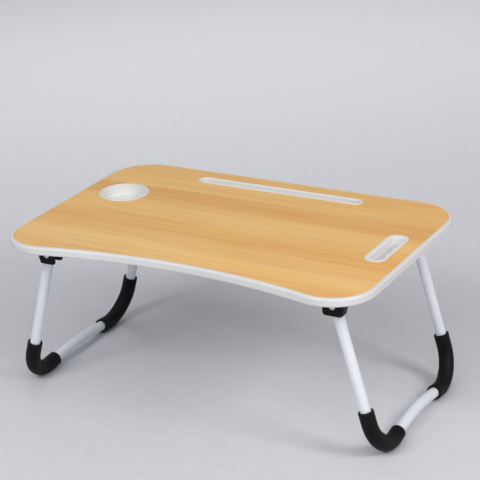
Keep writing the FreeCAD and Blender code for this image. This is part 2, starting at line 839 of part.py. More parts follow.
def make_hinge_rivet(label, side, end):
    """A solid rivet with a domed head on each cheek."""
    body = new_body(label)
    place_on_hinge(body, side, end)
    head = dim.rivet_head_diameter / 2
    seat = bracket_depth / 2
    crown = seat + dim.rivet_head_height
    dome = (head * head / dim.rivet_head_height + dim.rivet_head_height) / 2
    section = new_sketch(body, "section", "XY")
    add_outline(
        section,
        [
            (0, -crown),
            (head, -seat),
            (rivet_radius, -seat),
            (rivet_radius, seat),
            (head, seat),
            (0, crown),
        ],
        radii=[dome, None, None, None, dome],
    )
    revolve(body, section, "V_Axis")


def make_bracket_screws(label, side, end):
    """The four pan-head screws of one bracket."""
    screws = []
    head_seat = underside_height - dim.base_thickness
    for screw_x, ear in screw_places:
        shank = doc.addObject("Part::Cylinder", f"{label}_shank")
        shank.setExpression("Radius", screw_radius.formula)
        shank.setExpression("Height", dim.screw_length.formula)
        head = doc.addObject("Part::Cone", f"{label}_head")
        head.setExpression("Radius1", (dim.screw_head_crown_diameter / 2).formula)
        head.setExpression("Radius2", (dim.screw_head_diameter / 2).formula)
        head.setExpression("Height", dim.screw_head_height.formula)
        x = (hinge_x + screw_x) * side
        y = hinge_y * end + screw_y * ear
        place(shank, x, y, head_seat)
        place(head, x, y, head_seat - dim.screw_head_height)
        screw = doc.addObject("Part::Fuse", f"{label}_screw")
        screw.Base = shank
        screw.Tool = head
        screws.append(screw)
    group = doc.addObject("Part::Compound", label)
    group.Label = label
    group.Links = screws
    parts.append(group)


def place_on_leg(body, side):
    """Put a piece that is modelled in an upright leg frame at its pivot, leaning outwards."""
    body.Placement = FreeCAD.Placement(FreeCAD.Vector(), FreeCAD.Rotation(ALONG_Y * -side, 1))
    place(body, hinge_x * side, 0, hinge_height)
    body.setExpression("Placement.Rotation.Angle", f"{dim.leg_tilt.formula} * 1deg")


def bar_slope():
    """About how steeply the foot bar rises from its bends to its crown, in degrees."""
    return math.degrees(math.atan2(dim.bar_rise.value, bar_reach.value))


def add_foot_bend(sketch, end, top):
    """A post from a height down to its bend; returns the bend and its end at the bar."""
    radius = dim.leg_bend_radius
    post_y = hinge_y * end
    bend_y = bar_reach * end
    bend_z = radius - leg_drop
    post = add_line(sketch, flat_vector(post_y, top), flat_vector(post_y, bend_z))
    slope = bar_slope()
    if end > 0:
        bend = add_arc(sketch, bend_y, bend_z, radius, -QUARTER_TURN - slope, 0)
        outer_end, bar_end = END_INDEX, START_INDEX
    else:
        bend = add_arc(sketch, bend_y, bend_z, radius, HALF_TURN, HALF_TURN + QUARTER_TURN + slope)
        outer_end, bar_end = START_INDEX, END_INDEX
    relate(sketch, "Vertical", post)
    hold_point(sketch, post, START_INDEX, post_y, top)
    hold_point(sketch, bend, CENTRE_INDEX, y=bend_z)
    join_smoothly(sketch, (post, END_INDEX), (bend, outer_end))
    return bend, bar_end


def add_leg_path(sketch):
    """The centreline of one leg: two posts and a foot bar with a slight crown in the middle."""
    slope = bar_slope()
    rear_bend = add_foot_bend(sketch, ENDS["rear"], dim.tube_overhang)
    crown = add_arc(
        sketch, 0, bar_crown_z, bar_crown_radius, QUARTER_TURN - slope, QUARTER_TURN + slope
    )
    hold_point(sketch, crown, CENTRE_INDEX, 0, bar_crown_z)
    front_bend = add_foot_bend(sketch, ENDS["front"], dim.tube_overhang)
    add_smooth_line(sketch, rear_bend, (crown, START_INDEX))
    add_smooth_line(sketch, (crown, END_INDEX), front_bend)


def add_sleeve_path(sketch, end):
    """The stretch of a leg's centreline that one foot sleeve covers."""
    top = dim.sleeve_height - leg_drop
    bend = add_foot_bend(sketch, end, top)
    crown = add_circle(sketch, 0, bar_crown_z, bar_crown_radius)
    sketch.toggleConstruction(crown)
    tip_y = (hinge_y - dim.sleeve_reach) * end
    start = edge_point(sketch, *bend)
    tip_z = start.y + abs(tip_y.value - start.x) * math.tan(math.radians(bar_slope()))
    bar = add_line(sketch, start, FreeCAD.Vector(tip_y.value, tip_z, 0))
    join_smoothly(sketch, bend, (bar, START_INDEX))
    hold_point(sketch, bar, END_INDEX, x=tip_y)
    relate(sketch, "Tangent", bar, crown)


def sweep_tube(body, path, end, top, outer_radius, bore_radius):
    """A round tube along a path that starts at the top of the post at this end."""
    ring = new_sketch(body, "ring", "XY", top)
    post_y = hinge_y * end
    add_circle(ring, 0, post_y, outer_radius)
    add_circle(ring, 0, post_y, bore_radius)
    doc.recompute()
    pipe = body.newObject("PartDesign::AdditivePipe", f"{body.Name}_tube")
    pipe.Profile = ring
    pipe.Spine = (path, [f"Edge{i}" for i in range(1, len(path.Shape.Edges) + 1)])
    return pipe


def make_leg_tube(label, side):
    """A bent steel tube with a rivet hole through both posts."""
    body = new_body(label)
    place_on_leg(body, side)
    path = new_sketch(body, "path", "YZ")
    add_leg_path(path)
    bore_radius = tube_radius - dim.tube_wall
    sweep_tube(body, path, ENDS["rear"], dim.tube_overhang, tube_radius, bore_radius)
    pivot = new_sketch(body, "pivot", "XZ")
    add_circle(pivot, 0, 0, rivet_radius + dim.rivet_clearance)
    pocket(body, pivot, both_ways=True)


def make_foot_sleeve(label, side, end):
    """A soft sleeve round one foot bend, for grip on the floor."""
    body = new_body(label)
    place_on_leg(body, side)
    path = new_sketch(body, "path", "YZ")
    add_sleeve_path(path, end)
    top = dim.sleeve_height - leg_drop
    sweep_tube(body, path, end, top, sleeve_radius, sleeve_bore_radius)

    def end_circle(radius):
        def wanted(edge):
            is_circle = edge.Closed and type(edge.Curve) is Part.Circle
            return is_circle and abs(edge.Curve.Radius - radius.value) < dim.sleeve_clearance.value

        return wanted

    dress(body, "Fillet", dim.sleeve_end_rounding, end_circle(sleeve_radius), "end_rounding")
    dress(body, "Chamfer", dim.sleeve_lead_in, end_circle(sleeve_bore_radius), "lead_in")


def check_document():
    """Stop if any feature failed or any piece is not a sound solid."""
    for thing in doc.Objects:
        if "Invalid" in thing.State or "Error" in thing.State:
            raise RuntimeError(f"{thing.Name} failed: {thing.State}")
    for piece in parts:
        if piece.Shape.isNull() or not piece.Shape.isValid() or not piece.Shape.Solids:
            raise RuntimeError(f"{piece.Label} is not a sound solid")


def build():
    make_top_film()
    make_board_core()
    make_backing_film()
    make_edge_band()
    make_cup_holder()
    make_tablet_slot()
    make_handle_grip()
    make_handle_lower_ring()
    for side_name, side in SIDES.items():
        make_leg_tube(f"leg_tube_{side_name}", side)
        for end_name, end in ENDS.items():
            corner = f"{end_name}_{side_name}"
            make_hinge_bracket(f"hinge_bracket_{corner}", side, end)
            make_hinge_rivet(f"hinge_rivet_{corner}", side, end)
            make_bracket_screws(f"bracket_screws_{corner}", side, end)
            make_foot_sleeve(f"foot_sleeve_{corner}", side, end)
    doc.recompute()
    check_document()
    os.makedirs("parts", exist_ok=True)
    for piece in parts:
        piece.Shape.exportStep(f"parts/{piece.Label}.step")


build()
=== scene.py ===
import json
import math

import bmesh
import bpy
from mathutils import Matrix, Vector


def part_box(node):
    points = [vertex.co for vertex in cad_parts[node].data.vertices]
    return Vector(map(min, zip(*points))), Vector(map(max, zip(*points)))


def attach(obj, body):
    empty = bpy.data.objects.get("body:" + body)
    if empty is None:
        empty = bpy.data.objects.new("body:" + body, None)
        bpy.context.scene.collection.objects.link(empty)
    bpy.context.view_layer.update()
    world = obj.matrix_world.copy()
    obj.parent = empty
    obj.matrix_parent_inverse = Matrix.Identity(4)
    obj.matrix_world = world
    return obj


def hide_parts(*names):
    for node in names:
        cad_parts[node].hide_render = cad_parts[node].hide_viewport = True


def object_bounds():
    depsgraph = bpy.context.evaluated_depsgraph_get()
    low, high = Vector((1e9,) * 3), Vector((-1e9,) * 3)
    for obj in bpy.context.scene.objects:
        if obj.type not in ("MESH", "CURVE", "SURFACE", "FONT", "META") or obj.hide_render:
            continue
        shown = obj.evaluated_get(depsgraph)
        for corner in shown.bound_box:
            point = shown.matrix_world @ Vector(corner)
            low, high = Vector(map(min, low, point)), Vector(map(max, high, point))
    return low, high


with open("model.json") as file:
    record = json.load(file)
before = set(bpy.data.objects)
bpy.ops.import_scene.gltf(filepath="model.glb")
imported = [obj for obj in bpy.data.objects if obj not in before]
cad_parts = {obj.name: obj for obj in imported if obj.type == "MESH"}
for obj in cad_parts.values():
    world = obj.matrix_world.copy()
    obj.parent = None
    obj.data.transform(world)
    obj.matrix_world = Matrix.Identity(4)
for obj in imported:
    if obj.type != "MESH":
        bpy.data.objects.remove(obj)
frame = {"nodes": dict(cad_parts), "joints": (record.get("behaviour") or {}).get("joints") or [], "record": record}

cad_low, cad_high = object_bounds()
DESK_WIDTH = cad_high[0] - cad_low[0]
DESK_DEPTH = cad_high[1] - cad_low[1]
CORNERS = ("front_left", "rear_left", "front_right", "rear_right")

# Camera: the photograph's viewing angle, in degrees and metres, aimed at a point on the board's top.
VIEW_AZIMUTH = 29.46
VIEW_ELEVATION = 21.75
VIEW_ROLL = -2.461
VIEW_DISTANCE = 2.40633
VIEW_TARGET = Vector((0.04324, -0.0535, 0.268))
VIEW_FAR_LIMIT = 100.0
LENS_MM = 122.68
SENSOR_MM = 36.0

# Wood film, from the front edge (0) to the rear edge (1): pale bands are 1, dark bands 0.
GRAIN_BANDS = [
    (0.00, 0.52), (0.09, 0.60), (0.15, 0.96), (0.19, 0.98), (0.25, 0.68), (0.31, 0.54),
    (0.37, 0.38), (0.42, 0.34), (0.46, 0.82), (0.52, 0.98), (0.58, 0.76), (0.63, 0.20),
    (0.68, 0.12), (0.74, 0.34), (0.78, 0.76), (0.85, 0.76), (1.00, 0.55),
]
# How far the bands stray from straight lines, in metres: in long waves and in short ones.
GRAIN_WANDER = 0.030
GRAIN_RIPPLE = 0.008
# How often each kind of figure comes in a metre along the board, across it and through it.
GRAIN_RATES = {
    "wander": (2.4, 6.0, 1.0),
    "ripple": (7.0, 22.0, 1.0),
    "bands": (1.3, 30.0, 1.0),
    "patches": (2.6, 17.0, 1.0),
    "streaks": (3.4, 175.0, 1.0),
    "lines": (4.0, 310.0, 1.0),
    "flecks": (110.0, 1500.0, 1.0),
}
# How much of the tone the soft bands and the fine lines take over.
BANDS_SHARE = 0.30
LINES_SHARE = 0.24
WOOD_DARK = (0.690, 0.360, 0.122)
WOOD_MIDDLE = (0.774, 0.463, 0.176)
WOOD_PALE = (0.838, 0.555, 0.230)
# Tints that multiply the wood's colour: in its figure, and from the left edge to the right.
UNTINTED = (1.0, 1.0, 1.0)
STREAK_TINT = (0.87, 0.74, 0.61)
FLECK_TINT = (0.94, 0.90, 0.85)
PATCH_TINT = (1.0, 0.962, 0.80)
LEFT_TINT = (0.985, 0.985, 1.0)
MIDDLE_TINT = (1.0, 1.0, 0.985)
RIGHT_TINT = (1.0, 0.955, 0.885)

# Colours of the other finishes: a white that mottles darker and gets rougher and smoother in its grain,
# or a darker and a paler tone.
BACKING_WHITE = (0.66, 0.66, 0.65)
EDGING_WHITE = (0.692, 0.692, 0.688)
MOULDING_WHITE = (0.735, 0.725, 0.703)
MOTTLE_SHARE = 0.95
GRAIN_ROUGHER = 0.06
GRAIN_SMOOTHER = 0.04
POWDER_WHITES = ((0.732, 0.768, 0.822), (0.752, 0.788, 0.842))
RUBBER_BLACKS = ((0.0030, 0.0030, 0.0036), (0.0058, 0.0058, 0.0066))
MOULDING_BLACKS = ((0.0030, 0.0030, 0.0032), (0.0055, 0.0055, 0.0058))
ZINC_GREYS = ((0.55, 0.55, 0.56), (0.72, 0.72, 0.73))
FIBRE_BROWNS = ((0.20, 0.12, 0.06), (0.36, 0.24, 0.14))
FIBRE_RATES = (300.0, 300.0, 900.0)
PAPER_GREYS = ((0.614, 0.616, 0.649), (0.634, 0.636, 0.669))

# Foot sleeves, in metres and degrees: the leg that they sit on, and their own size.
LEG_TILT = 15.7
LEG_DROP = 0.2319
POST_Y = 0.140
FOOT_BEND_RADIUS = 0.050
FOOT_BEND_ANGLE = 96.73
BEND_CENTRE = Vector((0, POST_Y - FOOT_BEND_RADIUS, FOOT_BEND_RADIUS - LEG_DROP))
SLEEVE_RADIUS = 0.01165
SLEEVE_BORE_RADIUS = 0.00825
SLEEVE_HEIGHT = 0.069
SLEEVE_BAR_LENGTH = 0.01726
SLEEVE_ENDS_ROUNDING = 0.001
# How finely a sleeve is divided: round its ring, down each straight run, round its bend and over its lips.
RING_SEGMENTS = 48
RUN_STEPS = 4
BEND_STEPS = 72
LIP_SEGMENTS = 3
LIP_ANGLE = 60.0
MERGE_DISTANCE = 1e-6
# Folds on the inner side of each bend: how far the rubber swells in metres, and then for each crease
# its angle from the middle of the bend and its depth. The spans are angles too.
SLEEVE_FOLDS = {
    "front_left": (0.0024, ((-3.0, 0.0029), (20.0, 0.0007), (-23.0, 0.0005))),
    "rear_left": (0.0008, ((6.0, 0.0005), (-20.0, 0.0003))),
    "front_right": (0.0024, ((2.0, 0.0029), (-19.0, 0.0006), (23.0, 0.0008))),
    "rear_right": (0.0008, ((-7.0, 0.0005), (18.0, 0.0003))),
}
SWELL_SPAN = 24.0
CREASE_SPAN = 4.2
FOLD_FADE_POWER = 1.5

# Bracket screws, in metres and degrees: pan heads that point down, with a cross recess.
SCREW_HEAD_RADIUS = 0.00375
SCREW_CROWN_RADIUS = 0.0025
SCREW_HEAD_HEIGHT = 0.0024
SCREW_SHANK_RADIUS = 0.00175
HEAD_SHOULDER_RADIUS_SHARE = 0.90
HEAD_SHOULDER_HEIGHT_SHARE = 0.72
HEAD_SIDE_HEIGHT_SHARE = 0.30
SHANK_STRAIGHT_SHARE = 0.86
SHANK_POINT_SHARE = 0.3
CROWN_CELLS = 5
CROSS_ARM_HALF_WIDTH = 0.0004
CROSS_ARM_REACH = 0.0017
CROSS_DEPTH = 0.0013
CROSS_FLOOR_SHARE = 0.62
SCREW_SHARP_ANGLE = 40.0
FIRST_SCREW_TURN = 25.0
NEXT_SCREW_TURN = 67.0

# Studio, in metres, watts and degrees: a wide floor, the room's even light and the softboxes.
FLOOR_SIZE = 40.0
ROOM_COLOUR = (0.96, 0.975, 1.0, 1.0)
ROOM_STRENGTH = 0.33
UNDER_BOARD = (0.0, 0.0, 0.15)
SOFTBOXES = {
    "front_high": {
        "power": 22.0,
        "place": (-0.4, -2.0, 1.8),
        "aim": UNDER_BOARD,
        "size": (0.7, 0.7),
    },
    "right_side": {
        "power": 24.0,
        "place": (2.0, -0.4, 1.5),
        "aim": UNDER_BOARD,
        "size": (0.7, 0.7),
        "tint": (1.0, 0.92, 0.905),
    },
    "front_top": {
        "power": 19.0,
        "place": (0.8, -1.6, 2.1),
        "aim": (0.0, 0.0, 0.2),
        "size": (1.8, 1.2),
        "tint": (0.90, 0.98, 1.0),
    },
    "rear_near": {
        "power": 17.0,
        "place": (-0.9, 1.7, 2.4),
        "aim": (-1.05, 1.95, 0.0),
        "size": (3.6, 2.2),
        "spread": 80.0,
    },
    "rear_left": {
        "power": 2.6,
        "place": (-1.4, 1.2, 1.8),
        "aim": UNDER_BOARD,
        "size": (0.8, 0.8),
    },
}

# Sockets of the node that mixes colours, which share their names with others on it.
MIX_FACTOR = 0
MIX_FIRST = 6
MIX_SECOND = 7
MIX_RESULT = 2


def new_material(name):
    """A node material with one Principled shader; returns the material, its nodes and the shader."""
    material = bpy.data.materials.new(name)
    material.use_nodes = True
    nodes = material.node_tree.nodes
    return material, nodes, nodes["Principled BSDF"]


def feed(nodes, node, inputs):
    """Give a node its inputs: a socket is linked, anything else is set as a plain value."""
    for key, value in inputs.items():
        if isinstance(value, bpy.types.NodeSocket):
            nodes.id_data.links.new(value, node.inputs[key])
        else:
            node.inputs[key].default_value = value


def add_node(nodes, kind, inputs=None, **settings):
    """A new node with its settings and its inputs."""
    node = nodes.new(f"ShaderNode{kind}")
    for key, value in settings.items():
        setattr(node, key, value)
    feed(nodes, node, inputs or {})
    return node


def stretched(nodes, vector, rates):
    """Coordinates multiplied by a rate along each axis."""
    return add_node(nodes, "Mapping", {"Vector": vector, "Scale": rates}).outputs["Vector"]


def object_coordinates(nodes, rates=(1.0, 1.0, 1.0)):
    """The object's own coordinates, in metres times a rate along each axis."""
    return stretched(nodes, add_node(nodes, "TexCoord").outputs["Object"], rates)


def noise(nodes, vector, scale=1.0, detail=2.0, roughness=0.5):
    """Cloudy noise between 0 and 1."""
    inputs = {"Vector": vector, "Scale": scale, "Detail": detail, "Roughness": roughness}
    return add_node(nodes, "TexNoise", inputs).outputs["Fac"]


def ramp(nodes, factor, stops, interpolation="LINEAR"):
    """A colour ramp; each stop is a place and a colour or a grey level."""
    node = add_node(nodes, "ValToRGB", {"Fac": factor})
    node.color_ramp.interpolation = interpolation
    elements = node.color_ramp.elements
    while len(elements) < len(stops):
        elements.new(1.0)
    for element, (place, colour) in zip(elements, stops):
        element.position = place
        element.color = (*colour, 1.0) if isinstance(colour, tuple) else (colour, colour, colour, 1.0)
    return node.outputs["Color"]


def span(nodes, factor, low, high, start=0.3, stop=0.7):
    """A ramp between two colours or grey levels, over the range where most of a noise lies."""
    return ramp(nodes, factor, [(start, low), (stop, high)])


def mix(nodes, kind, factor, first, second):
    """Two colours mixed or multiplied."""
    inputs = {MIX_FACTOR: factor, MIX_FIRST: first, MIX_SECOND: second}
    return add_node(nodes, "Mix", inputs, data_type="RGBA", blend_type=kind).outputs[MIX_RESULT]


def multiply_add(nodes, value, factor, addend):
    """A value times a factor, plus another."""
    inputs = dict(enumerate((value, factor, addend)))
    return add_node(nodes, "Math", inputs, operation="MULTIPLY_ADD").outputs["Value"]


def bump(nodes, shader, height, strength, distance):
    """Raise a surface by a noise; the distance is in metres."""
    inputs = {"Height": height, "Strength": strength, "Distance": distance}
    feed(nodes, shader, {"Normal": add_node(nodes, "Bump", inputs).outputs["Normal"]})


def wood_film():
    """Printed beech film: soft bands along the board, warm patches, reddish streaks, fine lines, flecks."""
    material, nodes, shader = new_material("wood_film")
    place = add_node(nodes, "SeparateXYZ", {"Vector": object_coordinates(nodes)}).outputs
    wander = noise(nodes, object_coordinates(nodes, GRAIN_RATES["wander"]), detail=1.0)
    ripple = noise(nodes, object_coordinates(nodes, GRAIN_RATES["ripple"]), detail=1.0)
    drift = multiply_add(nodes, wander, GRAIN_WANDER, place["Y"])
    across = multiply_add(nodes, ripple, GRAIN_RIPPLE, drift)
    grain = add_node(nodes, "CombineXYZ", {"X": place["X"], "Y": across}).outputs["Vector"]
    middle = 0.5 - (GRAIN_WANDER + GRAIN_RIPPLE) / 2 / DESK_DEPTH
    from_front = multiply_add(nodes, across, 1 / DESK_DEPTH, middle)
    from_left = multiply_add(nodes, place["X"], 1 / DESK_WIDTH, 0.5)

    growth = ramp(nodes, from_front, GRAIN_BANDS, "B_SPLINE")
    bands = noise(nodes, stretched(nodes, grain, GRAIN_RATES["bands"]))
    lines = noise(nodes, stretched(nodes, grain, GRAIN_RATES["lines"]))
    streaks = noise(nodes, stretched(nodes, grain, GRAIN_RATES["streaks"]), detail=3.0, roughness=0.6)
    patches = noise(nodes, stretched(nodes, grain, GRAIN_RATES["patches"]), detail=3.0, roughness=0.6)
    flecks = noise(nodes, object_coordinates(nodes, GRAIN_RATES["flecks"]), detail=1.0)

    soft = mix(nodes, "MIX", BANDS_SHARE, growth, span(nodes, bands, 0.0, 1.0, start=0.32, stop=0.68))
    fine = mix(nodes, "MIX", LINES_SHARE, soft, span(nodes, lines, 0.0, 1.0, start=0.32, stop=0.66))
    tone = ramp(nodes, fine, [(0.15, WOOD_DARK), (0.50, WOOD_MIDDLE), (0.85, WOOD_PALE)])
    stronger_in_dark_bands = span(nodes, growth, 1.0, 0.6, start=0.1, stop=0.9)
    reddish = span(nodes, streaks, STREAK_TINT, UNTINTED, start=0.30, stop=0.49)
    tone = mix(nodes, "MULTIPLY", stronger_in_dark_bands, tone, reddish)
    for tint in (
        span(nodes, flecks, FLECK_TINT, UNTINTED, start=0.26, stop=0.36),
        span(nodes, patches, UNTINTED, PATCH_TINT, start=0.37, stop=0.63),
        ramp(nodes, from_left, [(0.0, LEFT_TINT), (0.5, MIDDLE_TINT), (1.0, RIGHT_TINT)]),
    ):
        tone = mix(nodes, "MULTIPLY", 1.0, tone, tint)

    satin = span(nodes, lines, low=0.50, high=0.43)
    feed(nodes, shader, {"Base Color": tone, "Roughness": satin, "Specular IOR Level": 0.35})
    bump(nodes, shader, lines, strength=0.08, distance=0.0002)
    return material


def white_plastic(name, colour, rough, grain_scale, grain_strength):
    """Satin white plastic: a faint mottle in its colour and a fine grain."""
    material, nodes, shader = new_material(name)
    mottle = noise(nodes, object_coordinates(nodes), scale=9.0, detail=3.0)
    grain = noise(nodes, object_coordinates(nodes), scale=grain_scale)
    darker = tuple(channel * MOTTLE_SHARE for channel in colour)
    tone = span(nodes, mottle, darker, colour, start=0.35, stop=0.65)
    satin = span(nodes, grain, low=rough + GRAIN_ROUGHER, high=rough - GRAIN_SMOOTHER)
    feed(nodes, shader, {"Base Color": tone, "Roughness": satin})
    bump(nodes, shader, grain, strength=grain_strength, distance=0.0002)
    return material


def powder_coat():
    """White powder coat with its slight orange peel."""
    material, nodes, shader = new_material("powder_coat")
    peel = noise(nodes, object_coordinates(nodes), scale=420.0)
    cloud = noise(nodes, object_coordinates(nodes), scale=14.0)
    tone = span(nodes, cloud, *POWDER_WHITES)
    gloss = span(nodes, peel, low=0.34, high=0.26)
    feed(nodes, shader, {"Base Color": tone, "Roughness": gloss})
    bump(nodes, shader, peel, strength=0.03, distance=0.0003)
    return material


def black_rubber():
    """Matt black rubber with a fine tooth and a little dust."""
    material, nodes, shader = new_material("black_rubber")
    tooth = noise(nodes, object_coordinates(nodes), scale=900.0, detail=3.0, roughness=0.6)
    dust = noise(nodes, object_coordinates(nodes), scale=35.0, detail=4.0, roughness=0.6)
    tone = span(nodes, dust, *RUBBER_BLACKS, start=0.35, stop=0.75)
    matt = span(nodes, tooth, low=0.62, high=0.48)
    feed(nodes, shader, {"Base Color": tone, "Roughness": matt, "Specular IOR Level": 0.16})
    bump(nodes, shader, tooth, strength=0.25, distance=0.0004)
    return material


def black_moulding():
    """Black moulded plastic with a spark-eroded grain."""
    material, nodes, shader = new_material("black_moulding")
    grain = noise(nodes, object_coordinates(nodes), scale=1400.0)
    cloud = noise(nodes, object_coordinates(nodes), scale=60.0, detail=3.0)
    tone = span(nodes, cloud, *MOULDING_BLACKS)
    satin = span(nodes, grain, low=0.52, high=0.40)
    feed(nodes, shader, {"Base Color": tone, "Roughness": satin, "Specular IOR Level": 0.16})
    bump(nodes, shader, grain, strength=0.2, distance=0.0003)
    return material


def zinc_steel():
    """Bright zinc-plated steel with fine turning marks."""
    material, nodes, shader = new_material("zinc_steel")
    marks = noise(nodes, object_coordinates(nodes), scale=900.0, detail=3.0)
    tone = span(nodes, marks, *ZINC_GREYS)
    gloss = span(nodes, marks, low=0.36, high=0.24)
    feed(nodes, shader, {"Base Color": tone, "Roughness": gloss, "Metallic": 1.0})
    bump(nodes, shader, marks, strength=0.1, distance=0.0002)
    return material


def fibreboard():
    """Pressed wood fibre, brown with paler fibres."""
    material, nodes, shader = new_material("fibreboard")
    fibres = noise(nodes, object_coordinates(nodes, FIBRE_RATES), detail=4.0, roughness=0.7)
    tone = span(nodes, fibres, *FIBRE_BROWNS)
    matt = span(nodes, fibres, low=0.95, high=0.85)
    feed(nodes, shader, {"Base Color": tone, "Roughness": matt})
    bump(nodes, shader, fibres, strength=0.3, distance=0.0004)
    return material


def backdrop_paper():
    """Pale grey studio paper."""
    material, nodes, shader = new_material("backdrop_paper")
    fibre = noise(nodes, object_coordinates(nodes), scale=40.0, detail=3.0)
    feed(nodes, shader, {"Base Color": span(nodes, fibre, *PAPER_GREYS), "Roughness": 0.9})
    return material


def dress_cad_nodes():
    """Give every CAD node the finish of its slot; returns the finishes by slot."""
    finishes = {
        "wood_film": wood_film(),
        "fibreboard": fibreboard(),
        "backing": white_plastic(
            "backing", BACKING_WHITE, rough=0.55, grain_scale=500.0, grain_strength=0.12
        ),
        "white_edging": white_plastic(
            "white_edging", EDGING_WHITE, rough=0.36, grain_scale=700.0, grain_strength=0.05
        ),
        "white_moulding": white_plastic(
            "white_moulding", MOULDING_WHITE, rough=0.38, grain_scale=800.0, grain_strength=0.06
        ),
        "white_tube": powder_coat(),
        "black_moulding": black_moulding(),
        "rivet_steel": zinc_steel(),
        "screw_steel": zinc_steel(),
        "black_rubber": black_rubber(),
    }
    for part in frame["record"]["subparts"]:
        mesh = frame["nodes"][part["node"]].data
        mesh.materials.clear()
        mesh.materials.append(finishes[part["material_slot"]])
    return finishes


def verts_of(geometry):
    """The vertices in what a bmesh operator returns."""
    return [item for item in geometry if isinstance(item, bmesh.types.BMVert)]


def new_piece(name, made, finish):
    """An object at the origin from a finished bmesh."""
    mesh = bpy.data.meshes.new(name)
    made.to_mesh(mesh)
    made.free()
    mesh.materials.append(finish)
    piece = bpy.data.objects.new(name, mesh)
    bpy.context.scene.collection.objects.link(piece)
    return piece


def leg_pivot(side):
    """The point that one leg turns about."""
    return next(Vector(joint["pos_m"]) for joint in frame["joints"] if joint["child"] == f"{side}_leg")


def draw_tube(made, tip, run):
    """Draw the end of a tube along a straight run; returns its new end."""
    for _ in range(RUN_STEPS):
        tip = bmesh.ops.extrude_face_region(made, geom=tip)["geom"]
        bmesh.ops.translate(made, vec=run / RUN_STEPS, verts=verts_of(tip))
    return tip


def fold_bend(made, swell, creases):
    """Swell the rubber on the inner side of the bend and press creases into it."""
    middle_of_wall = (SLEEVE_RADIUS + SLEEVE_BORE_RADIUS) / 2
    for vert in made.verts:
        spoke = Vector((0, vert.co.y, vert.co.z)) - BEND_CENTRE
        turned = math.degrees(math.atan2(-spoke.z, spoke.y))
        if not 0 < turned < FOOT_BEND_ANGLE:
            continue
        centreline = BEND_CENTRE + spoke.normalized() * FOOT_BEND_RADIUS
        outwards = vert.co - centreline
        if outwards.length < middle_of_wall:
            continue
        inner = max(0.0, -outwards.normalized().dot(spoke.normalized())) ** FOLD_FADE_POWER
        from_middle = turned - FOOT_BEND_ANGLE / 2
        push = swell * math.exp(-((from_middle / SWELL_SPAN) ** 2))
        for place, depth in creases:
            push -= depth * math.exp(-(((from_middle - place) / CREASE_SPAN) ** 2))
        vert.co += outwards.normalized() * push * inner


def add_foot_sleeve(corner, finish):
    """A rubber sleeve round one foot bend: a ring drawn down the post, round the bend and along the bar."""
    end, side = corner.split("_")
    made = bmesh.new()
    for radius in (SLEEVE_RADIUS, SLEEVE_BORE_RADIUS):
        bmesh.ops.create_circle(made, segments=RING_SEGMENTS, radius=radius)
    bmesh.ops.bridge_loops(made, edges=made.edges)
    bmesh.ops.translate(made, vec=(0, POST_Y, SLEEVE_HEIGHT - LEG_DROP), verts=made.verts)
    ring = made.verts[:] + made.edges[:] + made.faces[:]
    tip = draw_tube(made, ring, Vector((0, 0, FOOT_BEND_RADIUS - SLEEVE_HEIGHT)))
    bend_angle = math.radians(FOOT_BEND_ANGLE)
    bend = bmesh.ops.spin(
        made, geom=tip, cent=BEND_CENTRE, axis=(-1, 0, 0), angle=bend_angle, steps=BEND_STEPS
    )
    along_bar = Vector((0, -math.sin(bend_angle), -math.cos(bend_angle)))
    draw_tube(made, bend["geom_last"], along_bar * SLEEVE_BAR_LENGTH)
    bmesh.ops.remove_doubles(made, verts=made.verts, dist=MERGE_DISTANCE)
    bmesh.ops.recalc_face_normals(made, faces=made.faces)
    bmesh.ops.bevel(
        made,
        geom=[edge for edge in made.edges if edge.calc_face_angle() > math.radians(LIP_ANGLE)],
        offset=SLEEVE_ENDS_ROUNDING,
        affect="EDGES",
        segments=LIP_SEGMENTS,
        profile=0.5,
        material=-1,
    )
    fold_bend(made, *SLEEVE_FOLDS[corner])
    if end == "front":
        bmesh.ops.scale(made, vec=(1, -1, 1), verts=made.verts)
        bmesh.ops.recalc_face_normals(made, faces=made.faces)
    outward = 1 if side == "right" else -1
    lean = Matrix.Rotation(math.radians(-outward * LEG_TILT), 3, "Y")
    bmesh.ops.rotate(made, matrix=lean, verts=made.verts)
    bmesh.ops.translate(made, vec=leg_pivot(side), verts=made.verts)
    for face in made.faces:
        face.smooth = True
    piece = new_piece(f"folded_sleeve_{corner}", made, finish)
    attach(piece, f"{side}_leg")
    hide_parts(f"foot_sleeve_{corner}")


def press_cross(made):
    """The crown of a screw's head, an open sheet with a cross pressed into its middle."""
    bmesh.ops.create_grid(made, x_segments=CROWN_CELLS, y_segments=CROWN_CELLS, size=1.0)
    cell = 2 / CROWN_CELLS
    cross = []
    for face in made.faces:
        nearer, farther = sorted(map(abs, face.calc_center_median().xy))
        if nearer < cell / 2 and farther < cell * 3 / 2:
            cross.append(face)
    for vert in made.verts:
        if max(map(abs, vert.co.xy)) > 1 - cell / 2:
            vert.co = vert.co.normalized() * SCREW_CROWN_RADIUS
        else:
            for axis in (0, 1):
                reach = CROSS_ARM_HALF_WIDTH if abs(vert.co[axis]) < cell else CROSS_ARM_REACH
                vert.co[axis] = math.copysign(reach, vert.co[axis])
    floor = verts_of(bmesh.ops.extrude_face_region(made, geom=cross)["geom"])
    bmesh.ops.delete(made, geom=[face for face in cross if face.is_valid], context="FACES")
    bmesh.ops.translate(made, vec=(0, 0, -CROSS_DEPTH), verts=floor)
    bmesh.ops.scale(made, vec=(CROSS_FLOOR_SHARE, CROSS_FLOOR_SHARE, 1), verts=floor)


